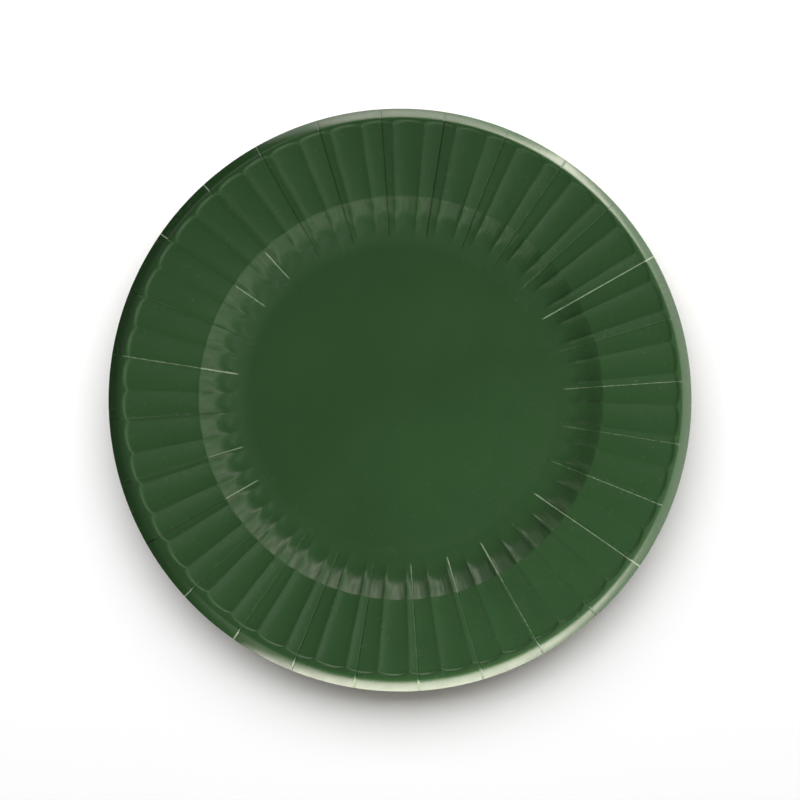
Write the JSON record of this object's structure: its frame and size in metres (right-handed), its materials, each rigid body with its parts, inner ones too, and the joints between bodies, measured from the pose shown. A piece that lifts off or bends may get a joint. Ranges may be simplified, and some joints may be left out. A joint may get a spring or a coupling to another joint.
{
  "type": "stack of paper plates",
  "caption": "Nested stack of round paper plates with a flat well, a fluted rim and a turned-down lip, for serving food.",
  "frame": {"origin": "centre of the bottom plate's underside, on the surface that the stack stands on", "axes": "+Z up along the stack's axis; +X to the right and +Y up in the picture, which looks straight down"},
  "size_m": [0.23, 0.23, 0.0232],
  "materials": {
    "coated_board": "glossy dark green coating on pressed paperboard"
  },
  "bodies": {
    "root": {"plate_1": "coated_board", "plate_2": "coated_board", "plate_3": "coated_board", "plate_4": "coated_board", "plate_5": "coated_board", "plate_6": "coated_board", "plate_7": "coated_board", "plate_8": "coated_board"}
  },
  "joints": []
}
